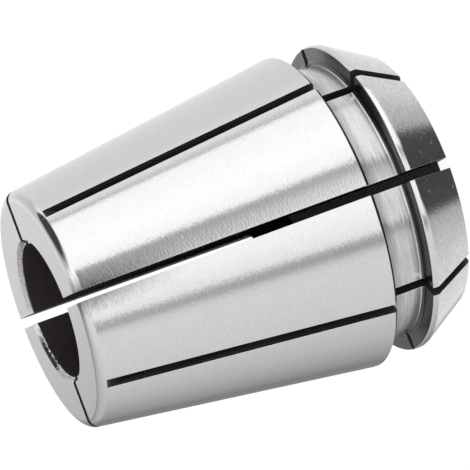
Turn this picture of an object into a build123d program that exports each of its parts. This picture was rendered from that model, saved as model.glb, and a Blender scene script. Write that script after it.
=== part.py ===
from build123d import *
import os
from math import radians, sqrt, tan

# An ER32 spring collet with a 14 mm bore, in millimetres: one turned and ground blank of spring
# steel, sawn from both ends so that it closes evenly on a tool shank.
# It stands on its nose face, and +Z runs along its axis from the nose to the small end.

# Overall form
overall_length = 40.0
largest_diameter = 33.0  # at the large end of the seat
seat_angle = 8.0  # per side: the long cone that sits in the chuck
nose_angle = 30.0  # per side: the short cone that the clamping nut presses on

# Head, between the nose face and the groove
head_diameter = 32.5
head_height = 5.6
head_land = 0.65  # short cylinder between the nose cone and the groove

# Groove that the eccentric ring of the nut snaps into
groove_diameter = 28.8
groove_width = 4.0

# Bore that grips the shank
bore_diameter = 14.0
bore_mouth_chamfer = 0.35  # at the small end
bore_nose_chamfer = 0.3

# Edge breaks
seat_edge_break = 0.35
small_end_radius = 1.0
head_edge_radius = 0.2
nose_edge_chamfer = 0.2
groove_fillet = 0.5  # where the groove's floor rises into the head

# Saw slots: four from each end, in turn round the axis, all cut with one disc saw
slots_per_end = 4
slot_width = 1.05
saw_diameter = 100.0
saw_rim_radius = 6.9  # nearest that the saw's rim runs to the axis, just inside the bore
run_out_radius = 10.4  # where a slot from the small end comes out through the nose face
small_end_skin = 0.75  # metal left on the seat beyond a slot from the nose
overrun = 1.0  # how far the saw's travel goes on past the metal

# Radii
bore_radius = bore_diameter / 2
seat_radius = largest_diameter / 2
head_radius = head_diameter / 2
groove_radius = groove_diameter / 2
saw_radius = saw_diameter / 2
saw_axis_radius = saw_rim_radius + saw_radius

# Heights above the nose face
nose_cone_top = head_height - head_land
groove_top = head_height + groove_width
seat_bottom = groove_top + seat_edge_break

# Slopes, and the radii where the two cones end
seat_slope = tan(radians(seat_angle))
nose_slope = tan(radians(nose_angle))
nose_radius = head_radius - nose_cone_top * nose_slope
small_end_corner = seat_radius - (overall_length - seat_bottom) * seat_slope

# Where the saw's axis stops on each kind of slot, found from where its rim has to come out
skin_height = overall_length - small_end_skin
skin_radius = small_end_corner + small_end_skin * seat_slope
low_stop = sqrt(saw_radius**2 - (saw_axis_radius - run_out_radius) ** 2)
high_stop = skin_height - sqrt(saw_radius**2 - (saw_axis_radius - skin_radius) ** 2)

# Half planes through the axis that the slots are cut along
slot_spacing = 360 / slots_per_end
small_end_slots = [Plane.XZ.rotated((0, 0, slot_spacing * turn)) for turn in range(slots_per_end)]
nose_slots = [plane.rotated((0, 0, slot_spacing / 2)) for plane in small_end_slots]


def corner_near(sketch, radius, height):
    """The corner of a half section that is nearest to a radius and a height."""
    return sketch.vertices().sort_by_distance((radius, height))[0]


def saw_path(stop_height, open_end_height):
    """What the saw sweeps in its own plane: its disc at the stop, and its run to the open end."""
    travel = open_end_height - stop_height
    with Locations((saw_axis_radius, stop_height)):
        Circle(saw_radius)
    with Locations((saw_axis_radius, stop_height + travel / 2)):
        Rectangle(saw_diameter, abs(travel))


with BuildPart() as collet_body:
    # Turned blank, with its bore, as a half section spun round the axis
    with BuildSketch(Plane.XZ) as half_section:
        with BuildLine():
            Polyline(
                (bore_radius + bore_nose_chamfer, 0),
                (nose_radius, 0),
                (head_radius, nose_cone_top),
                (head_radius, head_height),
                (groove_radius, head_height),
                (groove_radius, groove_top),
                (seat_radius - seat_edge_break, groove_top),
                (seat_radius, seat_bottom),
                (small_end_corner, overall_length),
                (bore_radius + bore_mouth_chamfer, overall_length),
                (bore_radius, overall_length - bore_mouth_chamfer),
                (bore_radius, bore_nose_chamfer),
                close=True,
            )
        make_face()
        chamfer(corner_near(half_section, nose_radius, 0), nose_edge_chamfer)
        fillet(corner_near(half_section, head_radius, nose_cone_top), head_edge_radius)
        fillet(corner_near(half_section, head_radius, head_height), head_edge_radius)
        fillet(corner_near(half_section, groove_radius, head_height), groove_fillet)
        fillet(corner_near(half_section, small_end_corner, overall_length), small_end_radius)
    revolve(axis=Axis.Z)

    # Slots from the small end: they part the seat and the head, and stop in a web at the nose
    with BuildSketch(*small_end_slots):
        saw_path(low_stop, overall_length + overrun)
    extrude(amount=slot_width / 2, both=True, mode=Mode.SUBTRACT)

    # Slots from the nose: they stop just short of the small end
    with BuildSketch(*nose_slots):
        saw_path(high_stop, -overrun)
    extrude(amount=slot_width / 2, both=True, mode=Mode.SUBTRACT)

collet_body.part.label = "collet_body"

os.makedirs("parts", exist_ok=True)
export_step(collet_body.part, "parts/collet_body.step")
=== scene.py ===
from math import cos, pi, radians, sin, sqrt, tan

import bmesh
import bpy
from mathutils import Matrix, Vector, noise


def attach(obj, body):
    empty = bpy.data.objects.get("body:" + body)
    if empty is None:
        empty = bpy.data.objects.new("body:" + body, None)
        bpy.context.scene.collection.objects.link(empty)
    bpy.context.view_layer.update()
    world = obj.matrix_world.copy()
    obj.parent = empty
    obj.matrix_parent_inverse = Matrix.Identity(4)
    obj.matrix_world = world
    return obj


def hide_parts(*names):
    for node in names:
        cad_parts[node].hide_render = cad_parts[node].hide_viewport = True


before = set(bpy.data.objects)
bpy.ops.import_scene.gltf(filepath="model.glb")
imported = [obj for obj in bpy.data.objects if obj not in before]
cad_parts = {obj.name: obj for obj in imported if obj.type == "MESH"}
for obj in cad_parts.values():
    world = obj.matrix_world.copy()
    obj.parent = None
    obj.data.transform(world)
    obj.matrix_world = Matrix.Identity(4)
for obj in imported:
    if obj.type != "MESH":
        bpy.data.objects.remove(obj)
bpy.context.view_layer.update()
mm = 0.001


def fromHex(code):
    parts = [int(code[i : i + 2], 16) / 255 for i in (1, 3, 5)]
    return tuple(c / 12.92 if c <= 0.04045 else ((c + 0.055) / 1.055) ** 2.4 for c in parts) + (1,)


# some nodes have several sockets of one name, of which one is in use
def pick(sockets, name):
    if isinstance(name, int):
        return sockets[name]
    return next(socket for socket in sockets if socket.name == name and socket.enabled)


# inputs are values, other nodes or their sockets, and stops fill a colour ramp with greys
def addNode(tree, kind, inputs=(), stops=(), **settings):
    node = tree.nodes.new("ShaderNode" + kind)
    for name, value in settings.items():
        setattr(node, name, value)
    for name, value in dict(inputs).items():
        socket = pick(node.inputs, name)
        if isinstance(value, bpy.types.Node):
            value = next(output for output in value.outputs if output.enabled)
        if isinstance(value, bpy.types.NodeSocket):
            tree.links.new(value, socket)
        else:
            socket.default_value = value
    for number, (place, level) in enumerate(stops):
        elements = node.color_ramp.elements
        if number == 0:
            elements.remove(elements[1])
        element = elements[0] if number == 0 else elements.new(place)
        element.position = place
        element.color = (level, level, level, 1)
    return node


def newMaterial(name):
    material = bpy.data.materials.new(name)
    material.use_nodes = True
    material.node_tree.nodes.clear()
    return material, material.node_tree


# what use has left on the steel, and where shade is painted on it; lengths are in millimetres
wearAndShade = {
    "nickTurn": (0.5, 0.3, 0.9),  # radians: how the nicks lie
    "nickThin": 6,  # how many times longer a nick is than wide
    "nickCore": 0.02,  # share of the spacing that is as deep as it gets
    "nickRim": 0.13,  # share of the spacing where the nick ends
    "slotShadeFray": 1.6,  # how far the tool lines fray the edge of the painted shade beside the slots
    "slotShadeAside": (1.0, 3.0),  # painted shade from the middle of the slot: full, and gone
    "slotShadeHeight": (29, 38),  # painted shade from the nose: none yet, and full
    "underSeatShadeHeight": (7.9, 9.2),  # painted shade under the seat, from the nose: none yet, and full
}


# bare steel that a wheel, a tool or a hone ran round
def machinedSteel(name, look):
    material, tree = newMaterial(name)
    place = addNode(tree, "TexCoord").outputs["Object"]
    axes = addNode(tree, "SeparateXYZ", {"Vector": place}).outputs
    flat = addNode(tree, "CombineXYZ", {"X": axes["X"], "Y": axes["Y"]})
    radius = addNode(tree, "VectorMath", {0: flat}, operation="LENGTH")
    # the way the tool ran over the surface: round the axis
    around = addNode(tree, "VectorMath", {0: (0, 0, 1), 1: flat}, operation="CROSS_PRODUCT")
    toWorld = {"vector_type": "VECTOR", "convert_from": "OBJECT", "convert_to": "WORLD"}
    turned = addNode(tree, "VectorTransform", {"Vector": around}, **toWorld)
    tangent = addNode(tree, "VectorMath", {0: turned}, operation="NORMALIZE")
    # tool lines change quickly along Z and the radius, and slowly round the part
    line, run = 1 / (look["line"] * mm), 1 / (look["run"] * mm)
    stretched = addNode(tree, "VectorMath", {0: place, 1: (run, run, line)}, operation="MULTIPLY")
    rings = addNode(tree, "Math", {0: radius, 1: line}, operation="MULTIPLY")
    pattern = {"Vector": stretched, "W": rings, "Scale": 1.0, "Detail": 2.0}
    marks = addNode(tree, "TexNoise", pattern, noise_dimensions="4D")
    pattern = {"Vector": place, "Scale": 1 / (look["grain"] * mm), "Detail": 2.0, "Roughness": 0.6}
    grain = addNode(tree, "TexNoise", pattern)
    blend = {"Factor": look["grainShare"], "A": marks, "B": grain}
    height = texture = addNode(tree, "Mix", blend, data_type="FLOAT")
    if "nicks" in look:
        # short nicks, far apart: points of a Voronoi pattern squeezed across their length
        apart = 1 / (look["nicks"] * mm)
        thin = wearAndShade["nickThin"] * apart
        turn = {"Vector": place, "Rotation": wearAndShade["nickTurn"], "Scale": (apart, thin, thin)}
        squeezed = addNode(tree, "Mapping", turn, vector_type="POINT")
        points = addNode(tree, "TexVoronoi", {"Vector": squeezed, "Scale": 1.0})
        pit = {"Value": points, "From Min": wearAndShade["nickCore"], "From Max": wearAndShade["nickRim"]}
        nick = addNode(tree, "MapRange", pit | {"To Min": look["nickDepth"], "To Max": 0.0})
        height = addNode(tree, "Math", {0: height, 1: nick}, operation="SUBTRACT")
    relief = {"Strength": 1.0, "Distance": look["depth"] * mm, "Height": height}
    bump = addNode(tree, "Bump", relief)
    # each line also leans a little round the part, which frays the edges of what it mirrors
    swing = {"Value": marks, "To Min": -look["lean"], "To Max": look["lean"]}
    amount = addNode(tree, "MapRange", swing)
    lean = addNode(tree, "VectorMath", {0: tangent, "Scale": amount}, operation="SCALE")
    leaning = addNode(tree, "VectorMath", {0: bump, 1: lean}, operation="ADD")
    normal = addNode(tree, "VectorMath", {0: leaning}, operation="NORMALIZE")
    spread = {"From Min": 0.3, "From Max": 0.7}  # where nearly all of the noise lies
    shade = {"To Min": 1 - look["mottle"], "To Max": 1 + look["mottle"]}
    tone = addNode(tree, "MapRange", {"Value": texture} | spread | shade)
    if "slotShade" in look:
        # painted shade: darker beside the two slots on the Y axis, towards the small end
        aside = addNode(tree, "Math", {0: axes["X"]}, operation="ABSOLUTE")
        fray = {0: marks, 1: wearAndShade["slotShadeFray"] * mm, 2: aside}
        frayed = addNode(tree, "Math", fray, operation="MULTIPLY_ADD")
        full, none = (length * mm for length in wearAndShade["slotShadeAside"])
        fade = {"From Min": full, "From Max": none, "To Min": look["slotShade"], "To Max": 0.0}
        beside = addNode(tree, "MapRange", {"Value": frayed} | fade)
        none, full = (length * mm for length in wearAndShade["slotShadeHeight"])
        heights = {"From Min": none, "From Max": full}
        upwards = addNode(tree, "MapRange", {"Value": axes["Z"]} | heights)
        slotShadeAmount = addNode(tree, "Math", {0: beside, 1: upwards}, operation="MULTIPLY")
        kept = addNode(tree, "Math", {0: 1.0, 1: slotShadeAmount}, operation="SUBTRACT")
        tone = addNode(tree, "Math", {0: tone, 1: kept}, operation="MULTIPLY")
    if "underSeatShade" in look:
        # painted shade: darker towards the corner under the seat
        none, full = (length * mm for length in wearAndShade["underSeatShadeHeight"])
        fade = {"From Min": none, "From Max": full, "To Min": 1.0, "To Max": 1 - look["underSeatShade"]}
        underSeatLitShare = addNode(tree, "MapRange", {"Value": axes["Z"]} | fade)
        tone = addNode(tree, "Math", {0: tone, 1: underSeatLitShare}, operation="MULTIPLY")
    colour = {0: fromHex(look["colour"])[:3], "Scale": tone}
    steel = {
        "Base Color": addNode(tree, "VectorMath", colour, operation="SCALE"),
        "Metallic": 1.0,
        "Roughness": look["roughness"],
        "Anisotropic": look["anisotropy"],
        "Anisotropic Rotation": 0.25,  # a quarter turn: the highlight spreads across the lines
        "Tangent": tangent,
        "Normal": normal,
    }
    addNode(tree, "OutputMaterial", {"Surface": addNode(tree, "BsdfPrincipled", steel)})
    return material


# dull steel, no longer a mirror: used for scale, and for painted shade in the bore and the slots
def dullDarkSteel(name, look):
    material, tree = newMaterial(name)
    place = addNode(tree, "TexCoord").outputs["Object"]
    patch, run = 1 / (look["patch"] * mm), 1 / (look["run"] * mm)
    stretched = addNode(
        tree, "VectorMath", {0: place, 1: (patch, patch, run)}, operation="MULTIPLY"
    )
    patches = addNode(tree, "TexNoise", {"Vector": stretched, "Scale": 1.0, "Detail": 4.0})
    shade = {"Value": patches, "To Min": 1 - look["mottle"], "To Max": 1 + look["mottle"]}
    tone = addNode(tree, "MapRange", shade)
    colour = {0: fromHex(look["colour"])[:3], "Scale": tone}
    relief = {"Strength": 1.0, "Distance": look["depth"] * mm, "Height": patches}
    skin = {
        "Base Color": addNode(tree, "VectorMath", colour, operation="SCALE"),
        "Roughness": look["roughness"],
        "Specular IOR Level": look["gloss"],
        "Normal": addNode(tree, "Bump", relief),
    }
    addNode(tree, "OutputMaterial", {"Surface": addNode(tree, "BsdfPrincipled", skin)})
    return material


# Lengths are in millimetres. Line is the pitch of the tool lines, and run their length round the
# part or along a slot. Grain and patch are the sizes of spots, nicks is the space between nicks,
# and depth is from trough to crest. A wheel's and a saw's lines are really 0.02 to 0.1 apart, which
# is too fine to show, so line and patch are drawn coarser.
finishes = {
    # spring steel, cylindrically ground: a soft mirror, its edges frayed by the wheel's lines, with
    # painted shade beside the slots on the Y axis
    "ground_spring_steel": {
        "colour": "#d3d3d4",
        "line": 0.14,
        "run": 0.55,
        "grain": 0.2,
        "grainShare": 0.35,
        "depth": 0.01,
        "lean": 0.014,
        "mottle": 0.06,
        # how dark the painted shade beside the slots gets
        "slotShade": 0.8,
        "nicks": 3.2,
        "nickDepth": 0.9,
        "roughness": 0.11,
        "anisotropy": 0.6,
    },
    # spring steel, ground and then scuffed by the nut: speckled, with short bright scratches
    "scuffed_cone_steel": {
        "colour": "#d2d0d2",
        "line": 0.14,
        "run": 0.55,
        "grain": 0.2,
        "grainShare": 0.5,
        "depth": 0.01,
        "lean": 0.014,
        "mottle": 0.24,
        "nicks": 2.3,
        "nickDepth": 2.2,
        "roughness": 0.11,
        "anisotropy": 0.6,
    },
    # spring steel, turned with a form tool: coarser rings, streaky, with painted shade towards the
    # corner under the seat
    "turned_spring_steel": {
        "colour": "#c9c8c8",
        "line": 0.2,
        "run": 3.0,
        "grain": 0.4,
        "grainShare": 0.2,
        "depth": 0.008,
        "lean": 0.06,
        "mottle": 0.2,
        # how dark the painted shade under the seat gets
        "underSeatShade": 0.55,
        "roughness": 0.22,
        "anisotropy": 0.8,
    },
    # spring steel, faced and lapped flat: an even satin
    "lapped_spring_steel": {
        "colour": "#d2d2d4",
        "line": 0.25,
        "run": 2.0,
        "grain": 0.3,
        "grainShare": 0.6,
        "depth": 0.0015,
        "lean": 0.015,
        "mottle": 0.03,
        "roughness": 0.1,
        "anisotropy": 0.4,
    },
    # spring steel, turned before hardening and left grey: dull rings under a thin scale; its dark
    # grey is also painted shade at the groove's root and under the seat
    "scaled_and_shaded_turned_steel": {
        "colour": "#585657",
        "line": 0.2,
        "run": 4.0,
        "grain": 0.3,
        "grainShare": 0.4,
        "depth": 0.006,
        "lean": 0.05,
        "mottle": 0.2,
        "roughness": 0.3,
        "anisotropy": 0.6,
    },
    # spring steel with the burr of the bore left on: it glitters in specks
    "burred_spring_steel": {
        "colour": "#bcbabb",
        "line": 0.2,
        "run": 0.5,
        "grain": 0.25,
        "grainShare": 0.6,
        "depth": 0.01,
        "lean": 0.02,
        "mottle": 0.4,
        "roughness": 0.12,
        "anisotropy": 0.3,
    },
    # spring steel at the edges of the slots, rubbed bright by hands and nuts
    "rubbed_edge_steel": {
        "colour": "#fbf4ec",
        "line": 0.3,
        "run": 1.0,
        "grain": 0.3,
        "grainShare": 0.5,
        "depth": 0.002,
        "lean": 0.02,
        "mottle": 0.05,
        "roughness": 0.3,
        "anisotropy": 0.0,
    },
    # bored steel, painted near black as the shade inside the hole: the hole looks evenly dark
    "shade_painted_bore_steel": {
        "colour": "#37302f",
        "patch": 0.5,
        "run": 0.5,
        "mottle": 0.3,
        "depth": 0.002,
        "roughness": 0.5,
        "gloss": 0.2,
    },
    # sawn steel with its hardening scale, its near black also painted shade deep in the narrow
    # slot, and grey where light slides along the cut
    "scaled_and_shaded_slot_steel": {
        "colour": "#3c3837",
        "patch": 1.1,
        "run": 14.0,
        "mottle": 0.8,
        "depth": 0.09,
        "roughness": 0.38,
        "gloss": 0.32,
    },
}
materials = [
    dullDarkSteel(name, look) if "patch" in look else machinedSteel(name, look)
    for name, look in finishes.items()
]
finishNumber = {name: number for number, name in enumerate(finishes)}
print("finishes made:", len(materials))

# millimetres and degrees. The sizes are the CAD body's, except the bore's wider mouth with its
# torn lip, the broken edges of the slots, and the roundings of the land's foot and the seat's edge.
collet = {
    "length": 40.0,
    "seatRadius": 16.5,
    "seatAngle": 8.0,
    "seatBreak": 0.35,
    "noseAngle": 30.0,
    "headRadius": 16.25,
    "headHeight": 5.6,
    "headLand": 0.65,
    "grooveRadius": 14.4,
    "grooveWidth": 4.0,
    "boreRadius": 7.0,
    "boreMouth": 0.5,
    "boreNose": 0.3,
    "lip": ((0.23, 0.28), (0.2, 0.37), (0.0, 0.4)),  # torn edge inside the mouth: out and down
    "tearOut": (0.006, 0.3),  # share of its radius that the edge wanders by, and over how far
    "tearDown": (0.12, 0.5),  # how far it wanders down or up, and over how far
    "roundings": {  # corner: set-back and segments
        "nose": (0.2, 1),
        "landLow": (0.12, 4),
        "landHigh": (0.2, 5),
        "grooveRoot": (0.5, 8),
        "seatUnder": (0.05, 2),
        "seatEdge": (0.05, 3),
        "endCorner": (0.87, 14),
    },
    "wheelReach": 0.03,  # how far the seat's grinding runs on below its corner
    "rootScaleAndShade": 0.3,  # how far up the groove its root is grey with scale and painted shade
    "slots": 8,
    "slotWidth": 1.05,
    "sawRadius": 50.0,
    "sawRim": 6.9,
    "sawTravel": 60.0,
    "sawSegments": 360,
    "runOut": 10.4,
    "skin": 0.75,
    "besideSlot": (1.2, 2.9),  # angles that a slot's wall comes out between, outside the bore
    "stations": 52,  # steps round the part between two slots
    "brokenEdge": 0.045,  # at most: it is held narrower where the faces beside it are short
    "brokenFrom": 32,  # angle from which an edge is broken
    "smoothTo": 30,  # angle up to which faces are shaded as one
}
mergeDistance = 0.002 * mm
near = 0.01  # millimetres within which a place counts as on a surface


def seatLine(sizes):
    bottom = sizes["headHeight"] + sizes["grooveWidth"] + sizes["seatBreak"]
    return bottom, tan(radians(sizes["seatAngle"]))


def makeBlank(sizes):
    coneTop = sizes["headHeight"] - sizes["headLand"]
    grooveTop = sizes["headHeight"] + sizes["grooveWidth"]
    seatBottom, slope = seatLine(sizes)
    bore, top, mouth = sizes["boreRadius"], sizes["length"], sizes["boreMouth"]
    lip = [(bore + out, top - down) for out, down in sizes["lip"]]
    corners = {
        "boreNose": (bore + sizes["boreNose"], 0),
        "nose": (sizes["headRadius"] - coneTop * tan(radians(sizes["noseAngle"])), 0),
        "landLow": (sizes["headRadius"], coneTop),
        "landHigh": (sizes["headRadius"], sizes["headHeight"]),
        "grooveRoot": (sizes["grooveRadius"], sizes["headHeight"]),
        "grooveTop": (sizes["grooveRadius"], grooveTop),
        "seatUnder": (sizes["seatRadius"] - sizes["seatBreak"], grooveTop),
        "seatEdge": (sizes["seatRadius"], seatBottom),
        "endCorner": (sizes["seatRadius"] - (top - seatBottom) * slope, top),
        "boreMouth": (bore + mouth, top),
        "lipTop": lip[0],
        "lipEdge": lip[1],
        "boreTop": lip[2],
        "boreLow": (bore, sizes["boreNose"]),
    }
    blank = bmesh.new()
    made = {name: blank.verts.new((r * mm, 0, z * mm)) for name, (r, z) in corners.items()}
    blank.faces.new(made.values())
    for name, (setBack, segments) in sizes["roundings"].items():
        bmesh.ops.bevel(
            blank,
            geom=[made[name]],
            offset=setBack * mm,
            offset_type="OFFSET",
            affect="VERTICES",
            segments=segments,
            profile=0.5,
            material=-1,
        )
    bmesh.ops.delete(blank, geom=blank.faces[:], context="FACES_ONLY")
    # spun in short sectors, so that no station lies where a slot's wall comes out
    edges = blank.edges[:]
    inside, outside = sizes["besideSlot"]
    pitch = 360 / sizes["slots"]
    step = (outside - inside, 1)
    sectors = ((2 * inside, 1), step, (pitch - 2 * outside, sizes["stations"]), step)
    start = Matrix.Rotation(radians(-inside), 3, "Z")
    bmesh.ops.rotate(blank, verts=blank.verts, matrix=start)
    for angle, steps in sectors * sizes["slots"]:
        spun = bmesh.ops.spin(
            blank,
            geom=edges,
            cent=(0, 0, 0),
            axis=(0, 0, 1),
            angle=radians(angle),
            steps=steps,
            use_merge=False,
        )
        edges = [item for item in spun["geom_last"] if isinstance(item, bmesh.types.BMEdge)]
    bmesh.ops.remove_doubles(blank, verts=blank.verts, dist=mergeDistance)
    # the boring tool tore this edge, so it wanders in and out and up and down
    radius, height = lip[1][0] * mm, lip[1][1] * mm
    (outBy, outOver), (downBy, downOver) = sizes["tearOut"], sizes["tearDown"]
    elsewhere = Vector((7, 3, 1))  # so that the two don't go together
    for vert in blank.verts:
        if abs(vert.co.xy.length - radius) + abs(vert.co.z - height) < near * mm:
            tear = noise.noise(vert.co / (outOver * mm))
            lift = noise.noise(vert.co / (downOver * mm) + elsewhere)
            vert.co.xy *= 1 + outBy * tear
            vert.co.z += downBy * mm * lift
    bmesh.ops.recalc_face_normals(blank, faces=blank.faces)
    for face in blank.faces:
        middle = face.calc_center_median() / mm
        r, z = middle.xy.length, middle.z
        if r < bore + mouth and lip[2][1] + near < z < top - near:
            finish = "burred_spring_steel"
        elif r < bore + near:
            finish = "shade_painted_bore_steel"
        elif z > top - near or z < near:
            finish = "lapped_spring_steel"
        elif z < coneTop:
            finish = "scuffed_cone_steel"
        elif z > seatBottom - sizes["wheelReach"] or z < sizes["headHeight"] - near:
            finish = "ground_spring_steel"
        elif z < sizes["headHeight"] + sizes["rootScaleAndShade"] or z > grooveTop - near:
            # scale, with painted shade at the groove's root and under the seat
            finish = "scaled_and_shaded_turned_steel"
        else:
            finish = "turned_spring_steel"
        face.material_index = finishNumber[finish]
    return blank


def makeSaws(sizes):
    saw, width, reach = sizes["sawRadius"], sizes["slotWidth"], sizes["sawTravel"]
    axisRadius = sizes["sawRim"] + saw
    seatBottom, slope = seatLine(sizes)
    skinHeight = sizes["length"] - sizes["skin"]
    skinRadius = sizes["seatRadius"] - (skinHeight - seatBottom) * slope
    lowStop = sqrt(saw**2 - (axisRadius - sizes["runOut"]) ** 2)
    highStop = skinHeight - sqrt(saw**2 - (axisRadius - skinRadius) ** 2)
    saws = bmesh.new()
    for number in range(sizes["slots"]):
        # every second slot comes from the small end, and the others from the nose
        stop, travel = (highStop, -reach) if number % 2 else (lowStop, reach)
        circle = {"cap_ends": False, "segments": sizes["sawSegments"], "radius": saw * mm}
        disc = bmesh.ops.create_circle(saws, **circle)["verts"]
        bmesh.ops.rotate(saws, verts=disc, matrix=Matrix.Rotation(pi / 2, 3, "X"))
        # half of the rim runs on to the open end
        trailing = [vert for vert in disc if vert.co.z * travel > 1e-9]
        bmesh.ops.translate(saws, verts=trailing, vec=(0, 0, travel * mm))
        rim = list(dict.fromkeys(edge for vert in disc for edge in vert.link_edges))
        side = bmesh.ops.contextual_create(saws, geom=rim)["faces"]
        solid = bmesh.ops.extrude_face_region(saws, geom=side, use_keep_orig=True)["geom"]
        far = [item for item in solid if isinstance(item, bmesh.types.BMVert)]
        bmesh.ops.translate(saws, verts=far, vec=(0, width * mm, 0))
        start = (axisRadius * mm, -width / 2 * mm, stop * mm)
        bmesh.ops.translate(saws, verts=disc + far, vec=start)
        turn = Matrix.Rotation(radians(360 / sizes["slots"] * number), 3, "Z")
        bmesh.ops.rotate(saws, verts=disc + far, matrix=turn)
    bmesh.ops.recalc_face_normals(saws, faces=saws.faces)
    for face in saws.faces:
        face.material_index = finishNumber["scaled_and_shaded_slot_steel"]
    return saws


def asObject(name, built, materials):
    mesh = bpy.data.meshes.new(name)
    built.to_mesh(mesh)
    built.free()
    made = bpy.data.objects.new(name, mesh)
    bpy.context.scene.collection.objects.link(made)
    for material in materials:
        mesh.materials.append(material)
    return made


def cutSlots(blank, saws):
    cut = blank.modifiers.new("slots", "BOOLEAN")
    cut.operation = "DIFFERENCE"
    cut.solver = "EXACT"
    cut.material_mode = "INDEX"
    cut.object = saws
    view = bpy.context.evaluated_depsgraph_get()
    mesh = bpy.data.meshes.new_from_object(blank.evaluated_get(view))
    blank.modifiers.remove(cut)
    blank.data = mesh
    bpy.data.objects.remove(saws)


# a slot's edges were only just taken off, and they catch the light as fine lines
def breakEdges(made, sizes):
    shape = bmesh.new()
    shape.from_mesh(made.data)
    bmesh.ops.remove_doubles(shape, verts=shape.verts, dist=mergeDistance)
    slotFinish = finishNumber["scaled_and_shaded_slot_steel"]
    sharp = [
        edge
        for edge in shape.edges
        if len(edge.link_faces) == 2
        and edge.calc_face_angle(0) > radians(sizes["brokenFrom"])
        and any(face.material_index == slotFinish for face in edge.link_faces)
    ]
    broken = bmesh.ops.bevel(
        shape,
        geom=sharp,
        offset=sizes["brokenEdge"] * mm,
        offset_type="OFFSET",
        affect="EDGES",
        segments=1,
        profile=0.5,
        material=-1,
        clamp_overlap=True,
    )
    for face in broken["faces"]:
        face.material_index = finishNumber["rubbed_edge_steel"]
    for face in shape.faces:
        face.smooth = True
    openEdges = sum(len(edge.link_faces) != 2 for edge in shape.edges)
    print("edges broken:", len(sharp), "open edges:", openEdges)
    shape.to_mesh(made.data)
    shape.free()
    made.data.set_sharp_from_angle(angle=radians(sizes["smoothTo"]))
    weigh = made.modifiers.new("even_normals", "WEIGHTED_NORMAL")
    weigh.keep_sharp = True


body = asObject("collet", makeBlank(collet), materials)
print("blank spun:", len(body.data.polygons), "faces")
cutSlots(body, asObject("saws", makeSaws(collet), materials))
print("slots sawn:", len(body.data.polygons), "faces")
breakEdges(body, collet)
print("triangles:", sum(len(face.vertices) - 2 for face in body.data.polygons))
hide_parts("collet_body")
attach(body, "root")

# degrees and millimetres
shot = {
    "facing": -91.65,  # the camera's azimuth from +X
    "elevation": 17.35,
    "roll": 250.08,
    "distance": 381.0,
    "aimHeight": 20.0,
    "aside": (-0.51, -1.06),
    "focal": 3801.6,  # in pixels
    "frame": 470,  # pixels across
    "sensor": 36,
    "clip": (50, 20000),
}


def makeCamera(shot):
    facing, tilt, roll = (radians(shot[key]) for key in ("facing", "elevation", "roll"))
    back = Vector((cos(tilt) * cos(facing), cos(tilt) * sin(facing), sin(tilt)))
    right = Vector((-sin(facing), cos(facing), 0))
    up = back.cross(right)
    across = right * cos(roll) + up * sin(roll)
    upright = up * cos(roll) - right * sin(roll)
    lens = bpy.data.cameras.new("camera")
    lens.lens = shot["focal"] * shot["sensor"] / shot["frame"]
    lens.sensor_width = shot["sensor"]
    lens.clip_start, lens.clip_end = (length * mm for length in shot["clip"])
    camera = bpy.data.objects.new("camera", lens)
    bpy.context.scene.collection.objects.link(camera)
    spot = Vector((0, 0, shot["aimHeight"])) + back * shot["distance"]
    spot -= across * shot["aside"][0] + upright * shot["aside"][1]
    turned = Matrix((across, upright, back)).transposed().to_4x4()
    camera.matrix_world = Matrix.Translation(spot * mm) @ turned
    bpy.context.scene.camera = camera


makeCamera(shot)
print("camera set")

# lengths are in millimetres
paper = {
    "colour": "#e8e8e8",
    "reach": 1600.0,  # from the middle to an edge
    "drop": 0.01,  # below the nose face
    "white": 1.06,  # what the camera sees, lamps' share and all
    "shadow": 0.1,  # how much of the white that the camera sees is lit by the room
    "hole": 8.6,  # radius of what the bore stands over, which is never white
}


# the camera sees white paper with the object's shadow, and metal mirrors the room past it
def whitePaper(look):
    material, tree = newMaterial("white_paper")
    rays = addNode(tree, "LightPath").outputs
    place = addNode(tree, "TexCoord").outputs["Object"]
    away = addNode(tree, "VectorMath", {0: place}, operation="LENGTH")
    outside = addNode(tree, "Math", {0: away, 1: look["hole"] * mm}, operation="GREATER_THAN")
    plain = addNode(tree, "BsdfDiffuse", {"Color": fromHex(look["colour"])})
    lit = addNode(tree, "BsdfDiffuse", {"Color": (look["shadow"],) * 3 + (1,)})
    glow = addNode(tree, "Emission", {"Strength": look["white"] - look["shadow"]})
    white = addNode(tree, "AddShader", {0: lit, 1: glow})
    clear = addNode(tree, "BsdfTransparent")
    fromCamera = {0: rays["Is Camera Ray"], 1: outside}
    byCamera = addNode(tree, "Math", fromCamera, operation="MULTIPLY")
    fromMetal = {0: rays["Is Glossy Ray"], 1: outside}
    byMetal = addNode(tree, "Math", fromMetal, operation="MULTIPLY")
    shown = addNode(tree, "MixShader", {"Fac": byCamera, 1: plain, 2: white})
    mirrored = addNode(tree, "MixShader", {"Fac": byMetal, 1: shown, 2: clear})
    addNode(tree, "OutputMaterial", {"Surface": mirrored})
    return material


sheet = bmesh.new()
bmesh.ops.create_grid(sheet, x_segments=1, y_segments=1, size=paper["reach"] * mm)
bmesh.ops.translate(sheet, verts=sheet.verts, vec=(0, 0, -paper["drop"] * mm))
asObject("floor", sheet, [whitePaper(paper)])
print("floor laid")

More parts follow.
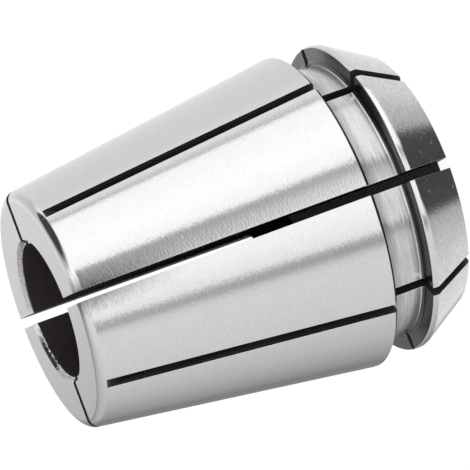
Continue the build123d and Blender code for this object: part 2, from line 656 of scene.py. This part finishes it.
# Soft boxes and dark gaps round the part: brightness by azimuth from the camera, in degrees
# anticlockwise from above. The room behind is the same at the low and the middle height.
room = {
    "behindLeft": [
        (-180, 0.9), (-176, 0.5), (-170, 0.28), (-150, 0.27), (-138, 0.42), (-110, 0.7),
        (-85, 0.87),
    ],
    "low": [
        (-46, 0.97), (-39, 0.93), (-36, 0.78), (-34, 0.58), (-32, 0.44), (-30.5, 0.46),
        (-26.2, 0.72), (-25.3, 1.2), (-8, 1.38), (2, 1.45), (9, 1.27), (14, 1.16), (18, 0.88),
        (23, 0.56), (25, 0.75),
    ],
    "middle": [
        (-46, 0.98), (-37, 0.97), (-34, 0.88), (-31, 0.62), (-26, 0.58), (-24.2, 0.7),
        (-23.2, 1.12), (-8, 1.34), (2, 1.35), (7, 0.5), (12, 0.38), (20, 0.46), (24, 0.52),
        (25.5, 0.8),
    ],
    "behindRight": [
        (27, 1.38), (32, 1.45), (46, 1.54), (77, 1.42), (79, 0.6), (82, 0.96), (86, 1.12),
        (106, 0.94), (180, 0.95),
    ],
    "high": [
        (-180, 0.78), (-175, 0.32), (-168, 0.5), (-150, 0.64), (-115, 0.73), (-85, 0.84),
        (-28, 1.03), (-8, 1.12), (8, 1.3), (30, 1.48), (100, 1.4), (118, 0.76), (150, 0.82),
        (167, 0.98), (175, 1.1), (180, 0.78),
    ],
    # beneath, by how far a direction points aside from a line just right of the camera
    "under": [
        (0.0, 0.08), (0.26, 0.1), (0.285, 0.2), (0.315, 0.58), (0.4, 0.72), (0.45, 0.8),
        (0.52, 0.87), (0.65, 0.96),
    ],
    "underAside": 0.03,
    "underBehind": {"From Min": -0.15, "From Max": -0.6, "To Min": 0.0, "To Max": 0.5},
    # heights in degrees between which one ring gives way to the next
    "blends": (("middle", -3.0, 0.0), ("high", 6, 16), ("under", -22, -32)),
    # a dark card hangs over the right, where aside + tilt * up is past its edge, and its edge
    # draws back towards its end, behind
    "card": {
        "tilt": 0.73,
        "edge": (0.92, 1.12),
        "lean": 1.08,
        "end": (0.3, 0.1),
        "drawn": 0.5,
        "level": 0.07,
    },
    "peak": 1.8,  # the ramps hold shares of this
}


def lightRoom(room):
    world = bpy.data.worlds.new("studio")
    bpy.context.scene.world = world
    world.use_nodes = True
    tree = world.node_tree
    tree.nodes.clear()
    way = addNode(tree, "TexCoord").outputs["Generated"]
    turn = {"Vector": way, "Rotation": (0, 0, -radians(shot["facing"]))}  # X towards the camera
    axes = addNode(tree, "SeparateXYZ", {"Vector": addNode(tree, "Mapping", turn)}).outputs
    azimuth = addNode(tree, "Math", {0: axes["Y"], 1: axes["X"]}, operation="ARCTAN2")
    share = addNode(tree, "MapRange", {"Value": azimuth, "From Min": -pi, "From Max": pi})
    rise = addNode(tree, "Math", {0: axes["Z"]}, operation="ARCSINE")
    rings = {
        "low": room["behindLeft"] + room["low"] + room["behindRight"],
        "middle": room["behindLeft"] + room["middle"] + room["behindRight"],
        "high": room["high"],
    }
    light = {}
    for name, ring in rings.items():
        stops = [((angle + 180) / 360, level / room["peak"]) for angle, level in ring]
        light[name] = addNode(tree, "ValToRGB", {"Fac": share}, stops)

    card = room["card"]
    tilted = {0: axes["Z"], 1: card["tilt"], 2: axes["Y"]}
    towards = addNode(tree, "Math", tilted, operation="MULTIPLY_ADD")
    leaning = {0: axes["Z"], 1: card["lean"], 2: axes["X"]}
    along = addNode(tree, "Math", leaning, operation="MULTIPLY_ADD")
    start, end = card["end"]
    back = {"Value": along, "From Min": start, "From Max": end, "To Max": card["drawn"]}
    past = addNode(tree, "MapRange", back)
    inside = addNode(tree, "Math", {0: towards, 1: past}, operation="SUBTRACT")
    start, end = card["edge"]
    covered = addNode(tree, "MapRange", {"Value": inside, "From Min": start, "From Max": end})
    dark = (card["level"] / room["peak"],) * 3
    mixed = {"Factor": covered, "A": light["high"], "B": dark}
    light["high"] = addNode(tree, "Mix", mixed, data_type="VECTOR")

    centred = addNode(tree, "Math", {0: axes["Y"], 1: -room["underAside"]}, operation="ADD")
    aside = addNode(tree, "Math", {0: centred}, operation="ABSOLUTE")
    behind = addNode(tree, "MapRange", {"Value": axes["X"]} | room["underBehind"])
    apart = addNode(tree, "Math", {0: aside, 1: behind}, operation="ADD")
    stops = [(place, level / room["peak"]) for place, level in room["under"]]
    light["under"] = addNode(tree, "ValToRGB", {"Fac": apart}, stops)

    level = light["low"]
    for name, start, end in room["blends"]:
        heights = {"From Min": radians(start), "From Max": radians(end)}
        factor = addNode(tree, "MapRange", {"Value": rise} | heights)
        mixed = {"Factor": factor, "A": level, "B": light[name]}
        level = addNode(tree, "Mix", mixed, data_type="VECTOR")
    lit = addNode(tree, "Background", {"Color": level, "Strength": room["peak"]})
    white = addNode(tree, "Background", {"Color": (1, 1, 1, 1), "Strength": 1.0})
    byCamera = addNode(tree, "LightPath").outputs["Is Camera Ray"]
    shown = addNode(tree, "MixShader", {"Fac": byCamera, 1: lit, 2: white})
    addNode(tree, "OutputWorld", {"Surface": shown})


lightRoom(room)
bpy.context.scene.view_settings.view_transform = "Standard"
print("room lit")
